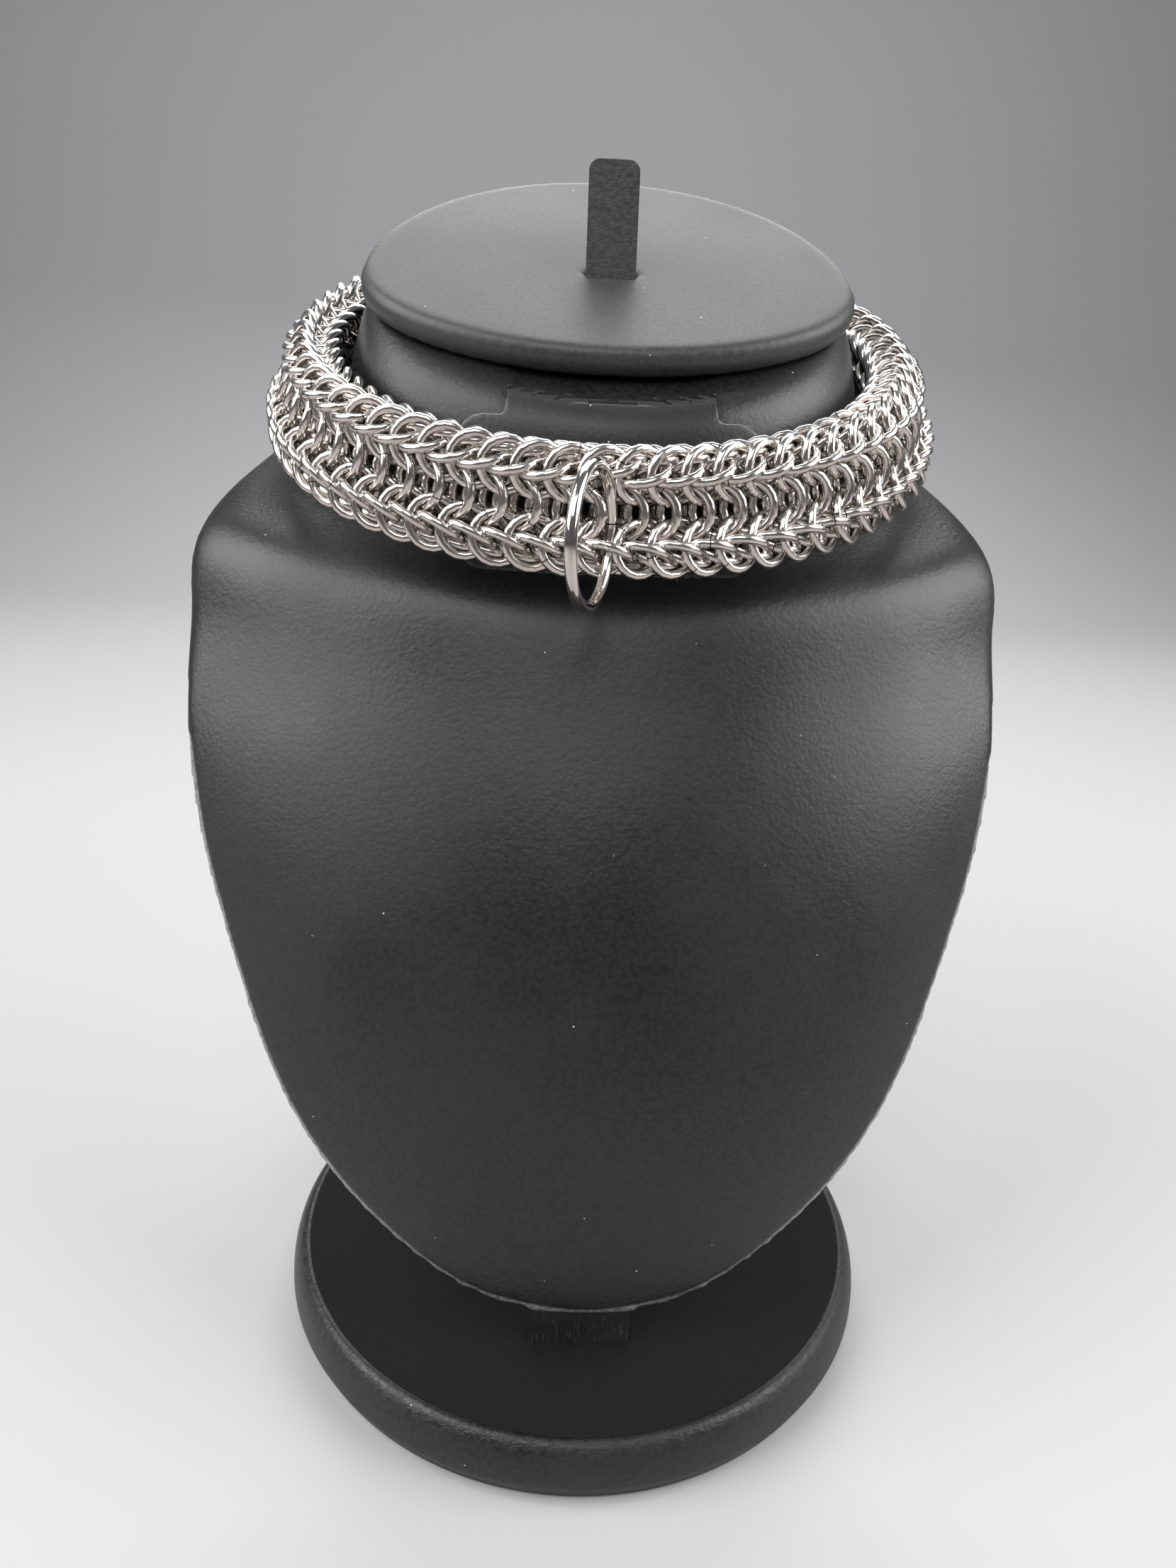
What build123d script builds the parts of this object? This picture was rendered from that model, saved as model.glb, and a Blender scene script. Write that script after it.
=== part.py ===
"""Chainmail collar on a neck bust display stand, in millimetres, +Z up, front towards -Y.

The origin is the middle of the underside of the round base. The stand is a leather-covered
base with a velvet top, a flat bar, the bust, an oval plate with a tongue, and a front flap.
The collar is a flattened tube of chainmail, made here as one hollow pierced band, with a
large ring through its front and a plain link that joins its two ends at the back.
"""
import os
from math import cos, radians, sin

from build123d import *

# Clearances: between pieces of one body, and round the ring that swings.
gap = 0.3
swing_gap = 0.6
neck_clearance = 1.0
throat_clearance = 0.25

# Round base and its velvet top.
base_radius = 76.0
base_height = 14.6
base_foot_inset = 1.4
base_bulge_height = 4.6
velvet_border = 4.0
velvet_thickness = 1.4

# Flat bar from the base into the bust.
bar_width = 23.0
bar_thickness = 6.0
bar_lean = 14.0
bar_setback = 3.2
bar_seat = 7.0
bar_reach = 46.0

# Bust: chest, shoulders and neck.
chest_tip_z = 27.8
chest_half_width = 99.6
chest_depth = 124.0
shoulder_drop = 33.0
neck_shift = 1.0
neck_waist = 1.4
throat_shift = 1.8
neck_top_inset = 3.6
neck_top_margin = 2.2

# Oval plate on the neck, placed from the neck's throat, and its tongue.
plate_forward = 6.0
plate_rise = 12.5
plate_tilt = 29.5
plate_half_width = 59.2
plate_front_depth = 35.6
plate_rear_depth = 57.6
plate_thickness = 7.0
plate_rounding = 2.6
tongue_width = 12.0
tongue_height = 24.5
tongue_thickness = 1.8
tongue_lean = 8.0
tongue_offset = 2.0
tongue_corner = 2.6

# Flap of leather over the front of the neck.
flap_thickness = 1.4
flap_gap = 0.2
flap_neck_width = 46.6
flap_width = 68.0
flap_step_rise = 18.2
flap_bottom_drop = 14.8
flap_corner = 6.5
flap_inner_corner = 1.2

# Chainmail band: its columns, its loop and its section with a rope along each edge.
column_count = 64
band_half_width = 74.6
band_half_depth = 66.2
band_tilt = 22.5
band_cone = 24.0
band_front_y = -9.9
band_front_z = 203.4
band_height = 27.4
rope_width = 15.0
rope_height = 9.4
rope_rounding = 4.4
band_thickness = 10.6
band_wall = 2.9
window_width = 3.2
window_height = 9.0
rear_opening = 2.6

# Large ring at the front, placed from the band's front: it swings about its own rear limb.
ring_wire = 2.5
ring_mean_radius = 13.9
ring_pivot_forward = 3.1
ring_drop = 3.2
ring_yaw = 18.7
ring_window_width = 9.8
leaf_drop = 9.2
leaf_height = 4.0
leaf_depth = 1.4

# Plain link behind: it holds the band's two ends together.
link_wire = 1.8
link_bend = 1.9

os.makedirs("parts", exist_ok=True)


def tilted(y, z, tilt):
    """Plane through (0, y, z) whose rear edge is lifted by tilt degrees."""
    lean = radians(tilt)
    return Plane(origin=(0, y, z), x_dir=(1, 0, 0), z_dir=(0, -sin(lean), cos(lean)))


# Base: a turned block, bulging a little above its foot, recessed for the velvet disc.
recess_z = base_height - velvet_thickness
velvet_radius = base_radius - velvet_border
with BuildPart() as base:
    with BuildSketch(Plane.XZ):
        with BuildLine():
            foot = base_radius - base_foot_inset
            Line((0, 0), (foot, 0))
            Line((foot, 0), (base_radius, base_bulge_height))
            TangentArc((base_radius, base_bulge_height), (velvet_radius, base_height), tangent=(0, 1))
            Line((velvet_radius, base_height), (velvet_radius, recess_z))
            Line((velvet_radius, recess_z), (0, recess_z))
            Line((0, recess_z), (0, 0))
        make_face()
    revolve(axis=Axis.Z)

with BuildPart() as base_velvet:
    with Locations((0, 0, recess_z)):
        Cylinder(velvet_radius - gap, velvet_thickness, align=(Align.CENTER, Align.CENTER, Align.MIN))

# Band loop: an ellipse in a plane that rises to the back, widening downwards like a cone.
loop_lean = radians(band_tilt)
cone = radians(band_cone)
loop_y = band_front_y + band_half_depth * cos(loop_lean)
loop_z = band_front_z + band_half_depth * sin(loop_lean)
loop_plane = tilted(loop_y, loop_z, band_tilt)
band_drop = band_height / 2 * cos(cone)
band_spread = band_height / 2 * sin(cone)
rope_reach = rope_width / 2 / cos(cone)

# Bust sections, from below the tip to the neck's top. Each has a plane (centre y, z and tilt)
# and four arcs: half width, corner half width, front, front corner, rear corner and rear.
# Places are from the plane's own centre. The neck fills the band, and ends under the plate.
seat_y = loop_y + band_drop * sin(loop_lean)
seat_z = loop_z - band_drop * cos(loop_lean)
seat_half_width = band_half_width + band_spread - rope_reach - neck_clearance
seat_half_depth = band_half_depth + band_spread - rope_reach - neck_clearance - neck_shift
throat_y = loop_y - band_drop * sin(loop_lean)
throat_z = loop_z + band_drop * cos(loop_lean)
throat_half_width = band_half_width - band_spread - rope_reach - throat_clearance
throat_half_depth = band_half_depth - band_spread - rope_reach - throat_clearance - throat_shift / 1.5
waist_half_width = (seat_half_width + throat_half_width) / 2 - neck_waist
waist_half_depth = (seat_half_depth + throat_half_depth) / 2 - neck_waist
plate_y = throat_y - plate_forward
plate_z = throat_z + plate_rise
neck_top_y = plate_y + plate_thickness * sin(radians(plate_tilt))
neck_top_z = plate_z - plate_thickness * cos(radians(plate_tilt))
neck_top_half_width = plate_half_width - neck_top_inset
neck_top_half_depth = (plate_front_depth + plate_rear_depth) / 2 - neck_top_margin
neck_top_shift = (plate_rear_depth - plate_front_depth) / 2
width = chest_half_width
depth = chest_depth
tip = chest_tip_z
height = seat_z - shoulder_drop - chest_tip_z
tip_front = -0.399
corner = 0.707
chest_shares = [
    # centre y, height, tilt, half width, corner, front, front corner, rear corner, rear
    (0.000, -0.050, 0, 0.460, 0.460, tip_front, -0.355, -0.298, -0.306),
    (0.000, 0.140, 0, 0.710, 0.700, -0.411, -0.254, -0.190, -0.161),
    (0.000, 0.366, 0, 0.860, 0.850, -0.371, -0.165, -0.085, 0.097),
    (0.000, 0.590, 0, 0.960, 0.948, -0.286, -0.044, 0.048, 0.371),
    (0.306, 0.813, 5, 1.003, 0.983, -0.484, -0.234, -0.137, 0.363),
    (0.411, 0.985, 11, 1.007, 0.978, -0.518, -0.250, -0.121, 0.427),
    (0.464, 1.120, 17, 0.980, 0.925, -0.524, -0.269, 0.000, 0.476),
]
chest_sections = [
    (y * depth, tip + z * height, tilt, half * width, corner_x * width, *(place * depth for place in places))
    for y, z, tilt, half, corner_x, *places in chest_shares
]


def oval(y, z, tilt, half_width, half_depth, shift):
    """Section row for an ellipse of four arcs, moved back by shift in its plane."""
    reach = corner * half_depth
    rows = (shift - half_depth, shift - reach, shift + reach, shift + half_depth)
    return (y, z, tilt, half_width, corner * half_width, *rows)


neck_sections = [
    oval(seat_y, seat_z, band_tilt, seat_half_width, seat_half_depth, neck_shift),
    oval(loop_y, loop_z, band_tilt, waist_half_width, waist_half_depth, 0.0),
    oval(throat_y, throat_z, band_tilt + 2, throat_half_width, throat_half_depth, throat_shift),
    oval(neck_top_y, neck_top_z, plate_tilt, neck_top_half_width, neck_top_half_depth, neck_top_shift),
]
sections = chest_sections + neck_sections


def bust_form(swell, rows):
    """Loft through the sections, each swollen outwards by swell."""
    with BuildPart(mode=Mode.PRIVATE) as form:
        for y, z, tilt, half, corner_x, front, front_corner, rear_corner, rear in rows:
            with BuildSketch(tilted(y, z, tilt)):
                with BuildLine():
                    x, side = corner_x + swell, half + swell
                    fore, aft = front_corner - swell, rear_corner + swell
                    middle = (fore + aft) / 2
                    bulge = max(side, x + 0.4)
                    ThreePointArc((-x, fore), (0, front - swell), (x, fore))
                    ThreePointArc((x, fore), (bulge, middle), (x, aft))
                    ThreePointArc((x, aft), (0, rear + swell), (-x, aft))
                    ThreePointArc((-x, aft), (-bulge, middle), (-x, fore))
                make_face()
        loft()
    return form.part


# Bar: stands in the base and leans back into the bust.
bar_plane = Plane(
    origin=(0, tip_front * depth + bar_setback, base_height),
    x_dir=(1, 0, 0),
    z_dir=(0, sin(radians(bar_lean)), cos(radians(bar_lean))),
)


def bar_solid(play):
    """Bar, or with play the slot that it stands in, along the leaning plane."""
    with BuildPart(mode=Mode.PRIVATE) as solid:
        with BuildSketch(bar_plane.offset(-bar_seat - play)):
            with Locations((0, bar_thickness / 2)):
                Rectangle(bar_width + 2 * play, bar_thickness + 2 * play)
        extrude(amount=bar_seat + bar_reach + 2 * play)
    return solid.part


with BuildPart() as support_bar:
    add(bar_solid(0))

bar_slot = bar_solid(gap)
with base:
    add(bar_slot, mode=Mode.SUBTRACT)
with base_velvet:
    add(bar_slot, mode=Mode.SUBTRACT)

# Outline of the chest from the front: height above the tip and half width, as shares.
outline_shares = [
    (0.022, 0.245),
    (0.062, 0.372),
    (0.142, 0.538),
    (0.222, 0.650),
    (0.308, 0.735),
    (0.436, 0.823),
    (0.600, 0.922),
    (0.750, 0.978),
    (0.900, 1.006),
    (1.000, 1.010),
    (1.060, 0.995),
    (1.110, 0.957),
    (1.150, 0.905),
]
outline = [(width * across, tip + height * up) for up, across in outline_shares]
outline_top = plate_z + plate_rear_depth

with BuildPart() as bust:
    add(bust_form(0, sections))
    with BuildSketch(Plane.XZ):
        with BuildLine():
            right = [Vector(x, z) for x, z in outline]
            left = [Vector(-x, z) for x, z in reversed(outline)]
            Spline(*left, Vector(0, tip), *right)
            Polyline(right[-1], (right[-1].X, outline_top), (-right[-1].X, outline_top), left[0])
        make_face()
    extrude(amount=2 * width, both=True, mode=Mode.INTERSECT)
    add(bar_slot, mode=Mode.SUBTRACT)
    split(bisect_by=tilted(neck_top_y, neck_top_z, plate_tilt), keep=Keep.BOTTOM)

# Plate: an oval slab with rounded edges and a slot for the tongue.
plate_plane = tilted(plate_y, plate_z, plate_tilt)
tongue_root = plate_plane.from_local_coords((0, tongue_offset, 0))
tongue_plane = Plane(
    origin=(0, tongue_root.Y, tongue_root.Z),
    x_dir=(1, 0, 0),
    z_dir=(0, -cos(radians(tongue_lean)), sin(radians(tongue_lean))),
)
tongue_root_depth = plate_thickness / cos(radians(plate_tilt + tongue_lean)) - 4 * gap

with BuildPart() as neck_plate:
    with BuildSketch(plate_plane):
        with BuildLine():
            EllipticalCenterArc((0, 0), plate_half_width, plate_rear_depth, 0, arc_size=180)
            EllipticalCenterArc((0, 0), plate_half_width, plate_front_depth, 180, arc_size=180)
        make_face()
    extrude(amount=-plate_thickness)
    fillet(neck_plate.edges().filter_by(GeomType.ELLIPSE), plate_rounding)
    with BuildSketch(tongue_plane):
        Rectangle(tongue_width + 2 * gap, 4 * plate_thickness)
    extrude(amount=tongue_thickness / 2 + gap, both=True, mode=Mode.SUBTRACT)

with BuildPart() as tongue:
    with BuildSketch(tongue_plane) as tongue_outline:
        with Locations((0, (tongue_height - tongue_root_depth) / 2)):
            Rectangle(tongue_width, tongue_height + tongue_root_depth)
        fillet(tongue_outline.vertices().group_by(Axis.Y)[-1], tongue_corner)
    extrude(amount=tongue_thickness / 2, both=True)

# Flap: a thin skin over the bust's front, narrow on the neck and wide below its step.
flap_step_z = band_front_z + flap_step_rise
flap_bottom_z = band_front_z - flap_bottom_drop
flap_top = neck_top_z + (neck_top_shift - neck_top_half_depth) * sin(radians(plate_tilt)) - 2 * gap
with BuildPart() as front_flap:
    add(bust_form(flap_gap + flap_thickness, sections))
    add(bust_form(flap_gap, sections), mode=Mode.SUBTRACT)
    with BuildSketch(Plane.XZ) as flap_outline:
        with BuildLine():
            narrow, wide = flap_neck_width / 2, flap_width / 2
            left_ear = [(-narrow, flap_step_z), (-wide, flap_step_z)]
            right_ear = [(wide, flap_step_z), (narrow, flap_step_z)]
            foot = [(-wide, flap_bottom_z), (wide, flap_bottom_z)]
            Polyline((-narrow, flap_top), *left_ear, *foot, *right_ear, (narrow, flap_top), close=True)
        make_face()
        corners = flap_outline.vertices()
        fillet(corners.filter_by(lambda v: abs(v.X) > wide - gap), flap_corner)
        steps = flap_outline.vertices().filter_by(lambda v: abs(v.Y - flap_step_z) < gap)
        fillet(steps.filter_by(lambda v: abs(v.X) < narrow + gap), flap_inner_corner)
    extrude(amount=loop_y, both=True, mode=Mode.INTERSECT)

# Band: a dumb-bell section, hollow between its two ropes, swept round the loop.
section_plane = Plane(
    origin=loop_plane.from_local_coords((band_half_width, 0, 0)),
    x_dir=loop_plane.x_dir * cos(cone) + loop_plane.z_dir * sin(cone),
    z_dir=loop_plane.y_dir,
)
rope_centre = (band_height - rope_height) / 2
hollow_height = 2 * rope_centre - 0.25 * rope_height


def loop_frame(share):
    """Plane at a share of the way round, measured along the loop from its front middle.

    X runs along the band, Y out of its outer face and Z up the leaning wall.
    """
    spot = loop_edge.position_at((share + 0.75) % 1.0)
    along = loop_edge.tangent_at((share + 0.75) % 1.0)
    outward = along.cross(loop_plane.z_dir).normalized()
    face = outward * cos(cone) + loop_plane.z_dir * sin(cone)
    return Plane(origin=spot, x_dir=along, z_dir=along.cross(face).normalized())


with BuildPart() as chainmail_band:
    with BuildLine(loop_plane) as loop_path:
        loop_edge = EllipticalCenterArc((0, 0), band_half_width, band_half_depth, arc_size=360)
    with BuildSketch(section_plane):
        Rectangle(band_thickness, 2 * rope_centre)
        with Locations((0, rope_centre), (0, -rope_centre)):
            RectangleRounded(rope_width, rope_height, rope_rounding)
        RectangleRounded(band_thickness - 2 * band_wall, hollow_height, band_wall / 2, mode=Mode.SUBTRACT)
    sweep(path=loop_path.line)
    windows = [loop_frame(number / column_count) for number in range(column_count)]
    with Locations(*[Location(frame) for frame in windows]):
        Box(window_width, 3 * band_thickness, window_height, mode=Mode.SUBTRACT)
    with Locations(Location(windows[column_count // 2])):
        Box(rear_opening, 3 * band_thickness, 2 * band_height, mode=Mode.SUBTRACT)
    ring_pivot_y = band_front_y - ring_pivot_forward
    ring_centre_z = band_front_z - ring_drop
    leaf_bottom_z = band_front_z - leaf_drop
    ring_back = ring_pivot_y + ring_wire / 2 + swing_gap
    cut_front = band_front_y - rope_width
    cut_bottom = ring_centre_z - ring_mean_radius - ring_wire
    cut_top = ring_centre_z + ring_mean_radius
    leaf_back = band_front_y - rope_width / 2 + leaf_depth
    with BuildSketch(Plane.YZ):
        with BuildLine():
            leaf_top_z = leaf_bottom_z + leaf_height
            outside = [(cut_front, cut_bottom), (cut_front, leaf_bottom_z)]
            leaf = [(leaf_back, leaf_bottom_z), (leaf_back, leaf_top_z), (cut_front, leaf_top_z)]
            inside = [(cut_front, cut_top), (ring_back, cut_top), (ring_back, cut_bottom)]
            Polyline(*outside, *leaf, *inside, close=True)
        make_face()
    extrude(amount=ring_window_width / 2, both=True, mode=Mode.SUBTRACT)

# Ring: a round wire, standing out of the band's front, turned to one side.
turn = radians(ring_yaw)
ring_plane = Plane(
    origin=(-ring_mean_radius * sin(turn), ring_pivot_y - ring_mean_radius * cos(turn), ring_centre_z),
    x_dir=(0, 0, 1),
    z_dir=(cos(turn), -sin(turn), 0),
)
with BuildPart() as front_ring:
    with Locations(Location(ring_plane)):
        Torus(ring_mean_radius, ring_wire / 2)

# Link: a flat round of wire through the two windows beside the band's rear opening.
rear_frame = windows[column_count // 2]
pitch = loop_edge.length / column_count
link_half_depth = band_thickness / 2 + gap + link_wire / 2
with BuildPart() as rear_link:
    with BuildSketch(rear_frame, mode=Mode.PRIVATE) as link_outline:
        RectangleRounded(2 * pitch, 2 * link_half_depth, link_bend)
    link_path = link_outline.sketch.face().outer_wire()
    with BuildSketch(Plane(origin=link_path @ 0, z_dir=link_path % 0)):
        Circle(link_wire / 2)
    sweep(path=link_path)

pieces = {
    "base": base,
    "base_velvet": base_velvet,
    "support_bar": support_bar,
    "bust": bust,
    "neck_plate": neck_plate,
    "tongue": tongue,
    "front_flap": front_flap,
    "chainmail_band": chainmail_band,
    "front_ring": front_ring,
    "rear_link": rear_link,
}
for name, piece in pieces.items():
    piece.part.label = name
    export_step(piece.part, f"parts/{name}.step")
print(f"band centre line {loop_edge.length:.1f} mm, pitch {pitch:.2f} mm")
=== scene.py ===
"""Looks of a chainmail collar on its neck bust stand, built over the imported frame, in metres."""
import logging
import math
from dataclasses import dataclass
from enum import Enum

import bmesh
import bpy
import numpy as np
from mathutils import Matrix, Vector


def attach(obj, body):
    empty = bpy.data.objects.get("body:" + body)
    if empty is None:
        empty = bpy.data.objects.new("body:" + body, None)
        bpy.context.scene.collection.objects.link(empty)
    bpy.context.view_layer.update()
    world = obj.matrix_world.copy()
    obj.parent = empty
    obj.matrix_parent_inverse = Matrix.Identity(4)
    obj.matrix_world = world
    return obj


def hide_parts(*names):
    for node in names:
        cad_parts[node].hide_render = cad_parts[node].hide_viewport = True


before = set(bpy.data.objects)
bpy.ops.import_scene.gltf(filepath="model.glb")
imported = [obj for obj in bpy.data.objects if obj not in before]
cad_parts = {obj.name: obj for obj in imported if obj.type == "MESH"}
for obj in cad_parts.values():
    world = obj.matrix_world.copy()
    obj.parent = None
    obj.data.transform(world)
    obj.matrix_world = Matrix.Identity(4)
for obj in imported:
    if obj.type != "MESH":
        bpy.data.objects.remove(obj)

log = logging.getLogger("collar")
Socket = bpy.types.NodeSocket
MM = 0.001
EDGE = "edge_mm"
WIRE_MAP = "wire"
WELD_MM = 0.001
POLE_MM = 0.02


class Body(Enum):
    """Bodies of the frame that a new piece rides on."""

    STAND = "stand_and_collar"
    RING = "ring"


class Slot(Enum):
    """Material slots of the record."""

    LEATHER = "leatherette"
    VELVET = "velvet"
    BAR = "bar_black"
    STEEL = "steel"


# Shader building


class Tree:
    """A node tree that is filled one node at a time."""

    def __init__(self, tree: bpy.types.NodeTree) -> None:
        """Keep the tree that the nodes go into."""
        self.tree = tree

    def add(self, kind: str, sockets: dict | None = None, **fields: object) -> bpy.types.Node:
        """Add one node.

        Args:
            kind: Blender's name of the node's type.
            sockets: values or output sockets for its inputs, by name or number.
            fields: settings of the node itself.

        Returns:
            The new node.
        """
        node = self.tree.nodes.new(kind)
        for key, value in fields.items():
            setattr(node, key, value)
        for key, value in (sockets or {}).items():
            if isinstance(value, Socket):
                self.tree.links.new(value, node.inputs[key])
            else:
                node.inputs[key].default_value = value
        return node

    def math(self, operation: str, *values: object) -> Socket:
        """Add a Math node.

        Args:
            operation: what it works out.
            values: its numbers or sockets, in order.

        Returns:
            The socket with the result.
        """
        sockets = dict(enumerate(values))
        return self.add("ShaderNodeMath", sockets, operation=operation).outputs[0]

    def vector(self, operation: str, first: object, second: object) -> Socket:
        """Add a Vector Math node.

        Args:
            operation: what it works out.
            first: its first vector or socket.
            second: its second vector or socket.

        Returns:
            The socket with the result.
        """
        return self.add("ShaderNodeVectorMath", {0: first, 1: second}, operation=operation).outputs[0]

    def mix(self, factor: object, first: object, second: object) -> Socket:
        """Mix two colours.

        Args:
            factor: share of the second colour.
            first: colour where the factor is 0.
            second: colour where the factor is 1.

        Returns:
            The socket with the mixed colour.
        """
        sockets = {0: factor, 6: first, 7: second}
        return self.add("ShaderNodeMix", sockets, data_type="RGBA").outputs[2]

    def ramp(
        self, value: object, low: float, high: float, start: float = 0.0, end: float = 1.0
    ) -> Socket:
        """Carry a value smoothly from one range to another.

        Args:
            value: the value.
            low: where the result begins to leave start.
            high: where it reaches end.
            start: result at low and below.
            end: result at high and above.

        Returns:
            The socket with the result.
        """
        sockets = {0: value, 1: low, 2: high, 3: start, 4: end}
        return self.add("ShaderNodeMapRange", sockets, interpolation_type="SMOOTHSTEP").outputs[0]


def new_group(name: str, inputs: dict[str, object], outputs: tuple[str, ...]) -> tuple[Tree, dict, dict]:
    """Start a shader node group.

    Args:
        name: the group's name.
        inputs: default of each input, a number or the word VECTOR.
        outputs: names of its outputs, each a value.

    Returns:
        The tree, its input sockets by name and its output node's sockets by name.
    """
    group = bpy.data.node_groups.new(name, "ShaderNodeTree")
    for label, value in inputs.items():
        kind = "NodeSocketVector" if value == "VECTOR" else "NodeSocketFloat"
        socket = group.interface.new_socket(label, in_out="INPUT", socket_type=kind)
        if value != "VECTOR":
            socket.default_value = value
    for label in outputs:
        group.interface.new_socket(label, in_out="OUTPUT", socket_type="NodeSocketFloat")
    tree = Tree(group)
    given = tree.add("NodeGroupInput").outputs
    wanted = tree.add("NodeGroupOutput").inputs
    return tree, {s.name: s for s in given if s.name}, {s.name: s for s in wanted if s.name}


def finish_group(tree: Tree, wanted: dict, results: dict[str, Socket]) -> bpy.types.NodeTree:
    """Join each result to its output socket.

    Args:
        tree: the group's tree.
        wanted: sockets of its output node by name.
        results: the socket that feeds each of them.

    Returns:
        The node group.
    """
    for label, socket in results.items():
        tree.tree.links.new(socket, wanted[label])
    return tree.tree


def grain_group() -> bpy.types.NodeTree:
    """Pebble grain of pressed leatherette.

    Height is a field of rounded cells, lowered along long creases of stretched noise;
    Pores is high in the valleys between the cells.

    Returns:
        The node group.
    """
    push_m, stretch, crease_half = 0.0016, (1.0, 2.2, 2.4), 0.07
    inputs = {"Vector": "VECTOR", "Cells": 900.0, "Creases": 0.5}
    tree, given, wanted = new_group("LeatherGrain", inputs, ("Height", "Pores"))
    warp = tree.add("ShaderNodeTexNoise", {"Vector": given["Vector"], "Scale": 260.0, "Detail": 2.0})
    push = tree.vector("MULTIPLY", warp.outputs["Color"], (push_m,) * 3)
    moved = tree.vector("ADD", given["Vector"], push)
    cell = {"Vector": moved, "Scale": given["Cells"], "Smoothness": 0.35}
    cells = tree.add("ShaderNodeTexVoronoi", cell, feature="SMOOTH_F1")
    dome = tree.math("SUBTRACT", 1.0, cells.outputs["Distance"])
    long = tree.add("ShaderNodeMapping", {"Vector": moved, "Scale": stretch})
    fold = {"Vector": long.outputs[0], "Scale": 190.0, "Detail": 5.0, "Roughness": 0.62}
    crease = tree.add("ShaderNodeTexNoise", fold)
    ridge = tree.math("ABSOLUTE", tree.math("SUBTRACT", crease.outputs[0], 0.5))
    dent = tree.math("MULTIPLY", tree.ramp(ridge, 0.0, crease_half, 1.0, 0.0), given["Creases"])
    height = tree.math("SUBTRACT", dome, dent)
    pores = tree.ramp(cells.outputs["Distance"], 0.35, 0.75)
    return finish_group(tree, wanted, {"Height": height, "Pores": pores})


def dust_group() -> bpy.types.NodeTree:
    """Sparse pale specks of dust.

    Mask is one where a cell's middle is nearer than Size times the cell's second random value,
    in the few cells whose first random value is above one minus Amount.

    Returns:
        The node group.
    """
    inputs = {"Vector": "VECTOR", "Cells": 130.0, "Size": 0.05, "Amount": 0.2}
    tree, given, wanted = new_group("DustSpecks", inputs, ("Mask",))
    spots = tree.add("ShaderNodeTexVoronoi", {"Vector": given["Vector"], "Scale": given["Cells"]})
    chance = tree.add("ShaderNodeSeparateColor", {0: spots.outputs["Color"]})
    size = tree.math("MULTIPLY", given["Size"], chance.outputs[1])
    near = tree.math("LESS_THAN", spots.outputs["Distance"], size)
    few = tree.math("GREATER_THAN", chance.outputs[0], tree.math("SUBTRACT", 1.0, given["Amount"]))
    return finish_group(tree, wanted, {"Mask": tree.math("MULTIPLY", near, few)})


def wire_group() -> bpy.types.NodeTree:
    """Drawn steel wire that is bent to a ring and butted.

    Along is the share of the way round the ring and Across the share round the wire, with a
    whole number added that tells the rings apart. Seam is one in a narrow gap where Along
    passes a whole number; Streak is noise stretched along the wire; Ring is one value a ring.

    Returns:
        The node group.
    """
    streaks_along, streaks_across = 7.0, 9.0
    inputs = {"Along": 0.0, "Across": 0.0, "Gap": 0.004}
    tree, given, wanted = new_group("WireMarks", inputs, ("Seam", "Streak", "Ring"))
    turn = tree.math("FRACT", given["Along"])
    apart = tree.math("ABSOLUTE", tree.math("SUBTRACT", turn, 0.5))
    edge = tree.math("SUBTRACT", 0.5, given["Gap"])
    seam = tree.math("GREATER_THAN", apart, edge)
    along = tree.math("MULTIPLY", given["Along"], streaks_along)
    across = tree.math("MULTIPLY", given["Across"], streaks_across)
    place = tree.add("ShaderNodeCombineXYZ", {0: along, 1: across})
    drawn = {"Vector": place.outputs[0], "Scale": 1.0, "Detail": 4.0, "Roughness": 0.6}
    streak = tree.add("ShaderNodeTexNoise", drawn)
    number = tree.math("FLOOR", given["Across"])
    ring = tree.add("ShaderNodeTexWhiteNoise", {"W": number}, noise_dimensions="1D")
    return finish_group(tree, wanted, {"Seam": seam, "Streak": streak.outputs[0], "Ring": ring.outputs[0]})


GROUPS = {"grain": grain_group(), "dust": dust_group(), "wire": wire_group()}


def start_material(name: str) -> tuple[bpy.types.Material, Tree, bpy.types.Node]:
    """Start a material.

    Args:
        name: the material's name.

    Returns:
        The material, its tree and its Principled BSDF.
    """
    material = bpy.data.materials.new(name)
    material.use_nodes = True
    tree = Tree(material.node_tree)
    return material, tree, material.node_tree.nodes["Principled BSDF"]


def use_group(tree: Tree, name: str, sockets: dict) -> bpy.types.Node:
    """Place one of the shared groups with its own values.

    Args:
        tree: the material's tree.
        name: the group's name in GROUPS.
        sockets: values or output sockets for its inputs, by name.

    Returns:
        The group's node.
    """
    return tree.add("ShaderNodeGroup", sockets, node_tree=GROUPS[name])


@dataclass(frozen=True)
class Surface:
    """What a finish gives its shader: colour, roughness and a height with its relief."""

    colour: Socket
    rough: Socket
    height: Socket
    strength: float
    relief_mm: float

    def feed(self, tree: Tree, shader: bpy.types.Node) -> None:
        """Join the surface to the shader, its height through a Bump node.

        Args:
            tree: the material's tree.
            shader: the material's Principled BSDF.
        """
        relief = {"Height": self.height, "Strength": self.strength, "Distance": self.relief_mm * MM}
        bump = tree.add("ShaderNodeBump", relief)
        joins = {"Base Color": self.colour, "Roughness": self.rough, "Normal": bump.outputs[0]}
        for label, socket in joins.items():
            tree.tree.links.new(socket, shader.inputs[label])


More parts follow.
